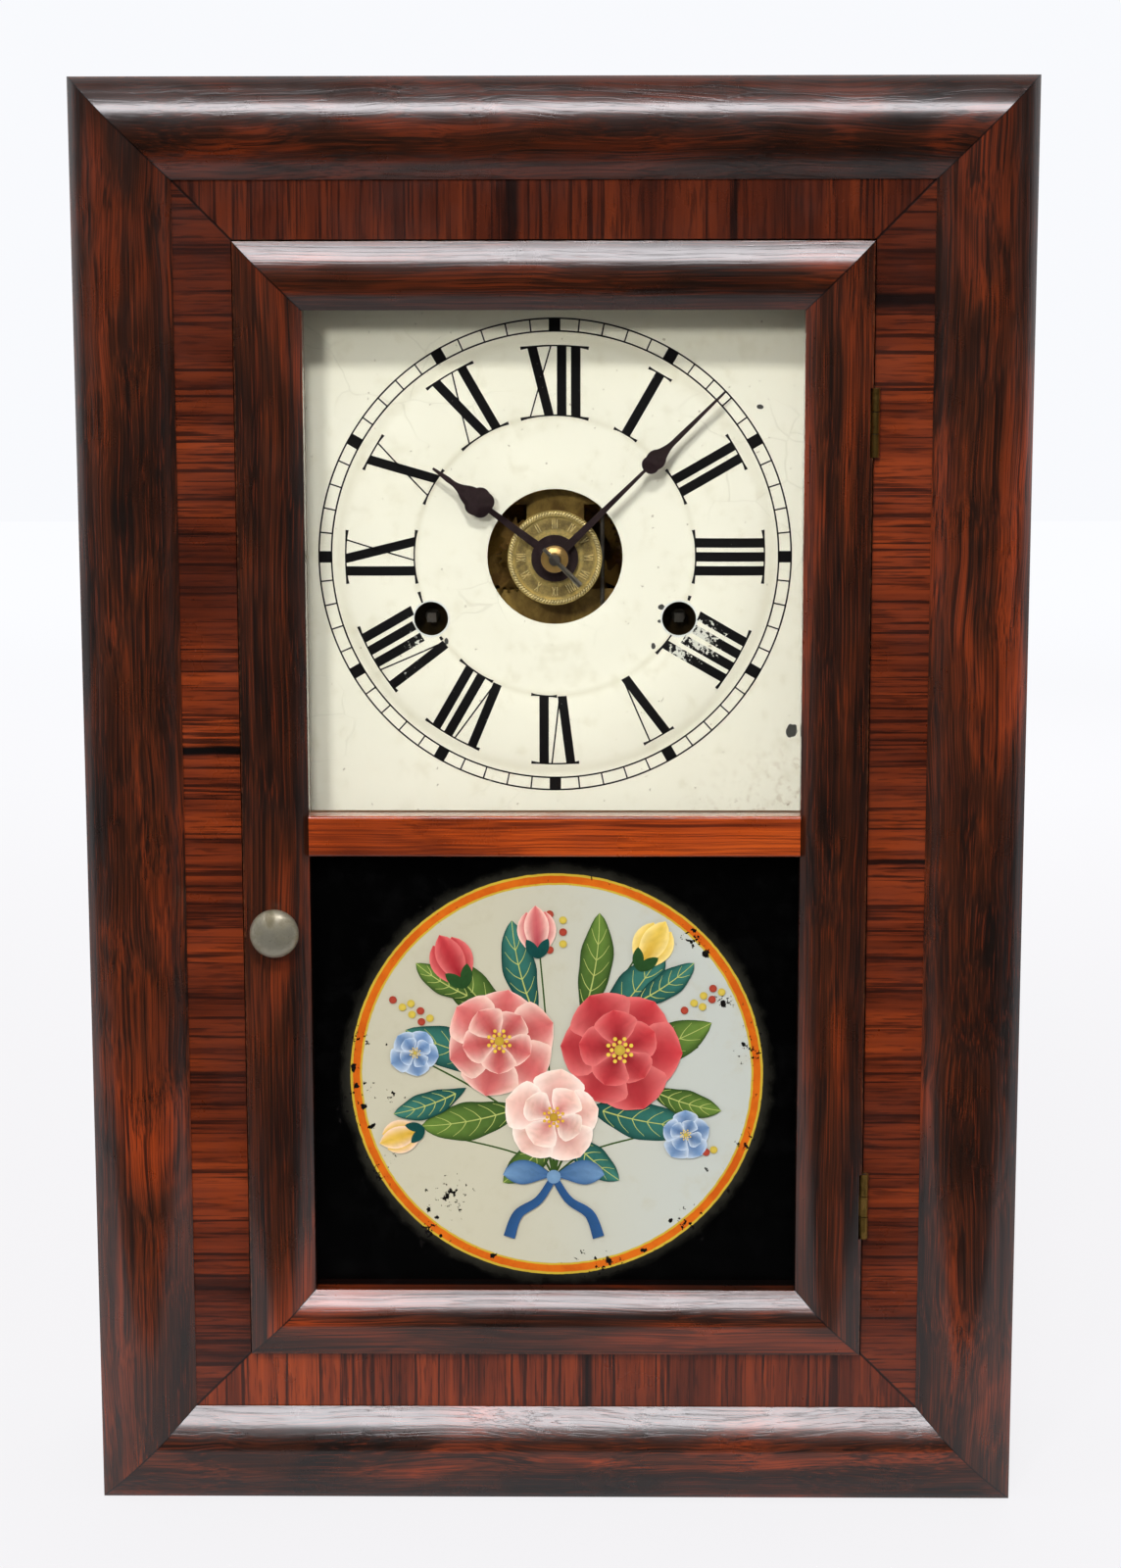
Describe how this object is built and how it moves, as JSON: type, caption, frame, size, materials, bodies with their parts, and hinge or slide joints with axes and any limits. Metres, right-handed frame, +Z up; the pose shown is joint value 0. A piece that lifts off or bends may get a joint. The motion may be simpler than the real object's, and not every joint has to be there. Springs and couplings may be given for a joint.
{
  "type": "shelf clock",
  "caption": "Rectangular shelf clock with an ogee-moulded case, a hinged door with a clear pane over a painted pane, an open-centre dial, striking and alarm works and a pendulum.",
  "frame": {"origin": "middle of the base, at the level of the surface the clock stands on", "axes": "+Z up, -Y out of the clock's face towards the viewer, +X to the viewer's right"},
  "size_m": [0.306, 0.109, 0.47],
  "materials": {
    "rosewood": "polished dark veneer",
    "banding": "polished cross-banded veneer",
    "case_wood": "stained and varnished",
    "plain_wood": "unfinished pine",
    "dial_paint": "aged cream enamel",
    "clear_glass": "clear window glass",
    "painted_glass": "glass painted on its back",
    "brass": "aged brass",
    "steel": "dull steel",
    "dark_steel": "browned steel",
    "white_metal": "dull cast white metal"
  },
  "bodies": {
    "case": {"case_left_side": "case_wood", "case_right_side": "case_wood", "case_top_board": "case_wood", "case_bottom_board": "case_wood", "back_board": "plain_wood", "front_frame_rails": "banding", "front_frame_stiles": "banding", "outer_moulding_rails": "rosewood", "outer_moulding_stiles": "rosewood", "dial_battens": "plain_wood", "dial_plate": "dial_paint", "hinge_case_leaves": "brass", "hinge_pins": "steel", "movement_front_plate": "brass", "movement_back_plate": "brass", "movement_pillars": "steel", "pillar_nuts": "steel", "mainsprings": "steel", "gong_base": "steel", "gong_coil": "dark_steel", "suspension_stud": "steel", "alarm_frame": "brass"},
    "door": {"door_rail_top": "rosewood", "door_rail_bottom": "rosewood", "door_stile_left": "rosewood", "door_stile_right": "rosewood", "door_crossbar": "banding", "dial_glass": "clear_glass", "tablet_glass": "painted_glass", "glazing_strips": "plain_wood", "hinge_door_leaves": "brass"},
    "latch": {"door_knob": "white_metal", "latch_hook": "steel"},
    "hands_arbor": {"centre_arbor": "steel", "cannon_pinion": "brass", "minute_hand": "dark_steel", "hand_washer": "brass", "hand_pin": "steel"},
    "minute_wheel": {"minute_wheel": "brass"},
    "hour_wheel": {"hour_wheel": "brass", "hour_hand": "dark_steel"},
    "alarm_disc": {"alarm_disc": "brass"},
    "time_winding_arbor": {"time_winding_arbor": "steel"},
    "time_great_wheel": {"time_great_wheel": "brass"},
    "time_second_wheel": {"time_second_wheel": "brass"},
    "centre_wheel": {"centre_wheel": "brass"},
    "third_wheel": {"third_wheel": "brass"},
    "escape_wheel": {"escape_wheel": "brass"},
    "verge": {"verge": "steel"},
    "pendulum": {"pendulum_rod": "steel", "pendulum_bob": "brass"},
    "strike_winding_arbor": {"strike_winding_arbor": "steel"},
    "strike_great_wheel": {"strike_great_wheel": "brass", "count_wheel": "brass"},
    "strike_second_wheel": {"strike_second_wheel": "brass"},
    "strike_pin_wheel": {"strike_pin_wheel": "brass"},
    "strike_fly": {"strike_fly": "brass"},
    "strike_hammer": {"strike_hammer": "steel"},
    "alarm_winding_arbor": {"alarm_winding_arbor": "steel"},
    "alarm_hammer": {"alarm_hammer": "steel"}
  },
  "joints": [
    {"name": "door_hinge", "type": "hinge", "parent": "case", "child": "door", "pos_m": [0.10264, -0.04055, 0.235], "axis": [0, 0, 1], "range_deg": [0, 100]},
    {"name": "latch_turn", "type": "hinge", "parent": "door", "child": "latch", "pos_m": [-0.091, -0.039, 0.197], "axis": [0, -1, 0], "range_deg": [0, 90]},
    {"name": "minute_hand_turn", "type": "hinge", "parent": "case", "child": "hands_arbor", "pos_m": [0, -0.015, 0.3164], "axis": [0, 1, 0], "continuous": true},
    {"name": "minute_wheel_turn", "type": "hinge", "parent": "case", "child": "minute_wheel", "pos_m": [-0.01568, -0.015, 0.3164], "axis": [0, 1, 0], "continuous": true},
    {"name": "hour_hand_turn", "type": "hinge", "parent": "case", "child": "hour_wheel", "pos_m": [0, -0.015, 0.3164], "axis": [0, 1, 0], "continuous": true},
    {"name": "alarm_disc_turn", "type": "hinge", "parent": "hour_wheel", "child": "alarm_disc", "pos_m": [0, -0.015, 0.3164], "axis": [0, 1, 0], "continuous": true},
    {"name": "time_winding_turn", "type": "hinge", "parent": "case", "child": "time_winding_arbor", "pos_m": [0.041, -0.015, 0.2959], "axis": [0, 1, 0], "continuous": true},
    {"name": "strike_winding_turn", "type": "hinge", "parent": "case", "child": "strike_winding_arbor", "pos_m": [-0.041, -0.015, 0.2959], "axis": [0, 1, 0], "continuous": true},
    {"name": "alarm_winding_turn", "type": "hinge", "parent": "case", "child": "alarm_winding_arbor", "pos_m": [0.096, 0.03, 0.0684], "axis": [0, 1, 0], "continuous": true},
    {"name": "escape_wheel_turn", "type": "hinge", "parent": "case", "child": "escape_wheel", "pos_m": [-0.00403, -0.015, 0.3589], "axis": [0, 1, 0], "continuous": true},
    {"name": "third_wheel_turn", "type": "hinge", "parent": "case", "child": "third_wheel", "pos_m": [-0.00795, -0.015, 0.33838], "axis": [0, 1, 0], "continuous": true},
    {"name": "centre_wheel_turn", "type": "hinge", "parent": "case", "child": "centre_wheel", "pos_m": [0, -0.015, 0.3164], "axis": [0, 1, 0], "continuous": true},
    {"name": "time_second_turn", "type": "hinge", "parent": "case", "child": "time_second_wheel", "pos_m": [0.01098, -0.015, 0.28941], "axis": [0, 1, 0], "continuous": true},
    {"name": "time_great_turn", "type": "hinge", "parent": "case", "child": "time_great_wheel", "pos_m": [0.041, -0.015, 0.2959], "axis": [0, 1, 0], "continuous": true},
    {"name": "strike_fly_turn", "type": "hinge", "parent": "case", "child": "strike_fly", "pos_m": [-0.01803, -0.015, 0.35838], "axis": [0, 1, 0], "continuous": true},
    {"name": "strike_pin_turn", "type": "hinge", "parent": "case", "child": "strike_pin_wheel", "pos_m": [-0.03405, -0.015, 0.3424], "axis": [0, 1, 0], "continuous": true},
    {"name": "strike_second_turn", "type": "hinge", "parent": "case", "child": "strike_second_wheel", "pos_m": [-0.04995, -0.015, 0.32241], "axis": [0, 1, 0], "continuous": true},
    {"name": "strike_great_turn", "type": "hinge", "parent": "case", "child": "strike_great_wheel", "pos_m": [-0.041, -0.015, 0.2959], "axis": [0, 1, 0], "continuous": true},
    {"name": "pendulum_swing", "type": "hinge", "parent": "case", "child": "pendulum", "pos_m": [0.0156, -0.0096, 0.3744], "axis": [0, 1, 0], "range_deg": [-3.5, 3.5]},
    {"name": "verge_rock", "type": "hinge", "parent": "case", "child": "verge", "pos_m": [-0.00403, -0.0096, 0.3744], "axis": [0, 1, 0], "range_deg": [-3.5, 3.5]},
    {"name": "strike_hammer_swing", "type": "hinge", "parent": "case", "child": "strike_hammer", "pos_m": [-0.05197, -0.015, 0.36042], "axis": [0, 1, 0], "range_deg": [0, 5], "stiffness_Nm_per_rad": 0.02, "springref_deg": -1.15},
    {"name": "alarm_hammer_swing", "type": "hinge", "parent": "case", "child": "alarm_hammer", "pos_m": [0.0808, 0.025, 0.05976], "axis": [0, 1, 0], "range_deg": [0, 8], "stiffness_Nm_per_rad": 0.02, "springref_deg": -2.86}
  ],
  "couplings": [
    {"joint": "minute_wheel_turn", "follows": "minute_hand_turn", "ratio": -0.33333},
    {"joint": "hour_hand_turn", "follows": "minute_hand_turn", "ratio": 0.083333},
    {"joint": "third_wheel_turn", "follows": "escape_wheel_turn", "ratio": -0.1},
    {"joint": "centre_wheel_turn", "follows": "escape_wheel_turn", "ratio": 0.01},
    {"joint": "time_second_turn", "follows": "escape_wheel_turn", "ratio": -0.0022222},
    {"joint": "time_great_turn", "follows": "escape_wheel_turn", "ratio": 0.00049383},
    {"joint": "strike_pin_turn", "follows": "strike_fly_turn", "ratio": -0.25},
    {"joint": "strike_second_turn", "follows": "strike_fly_turn", "ratio": 0.0625},
    {"joint": "strike_great_turn", "follows": "strike_fly_turn", "ratio": -0.015625},
    {"joint": "verge_rock", "follows": "pendulum_swing", "ratio": 1}
  ]
}
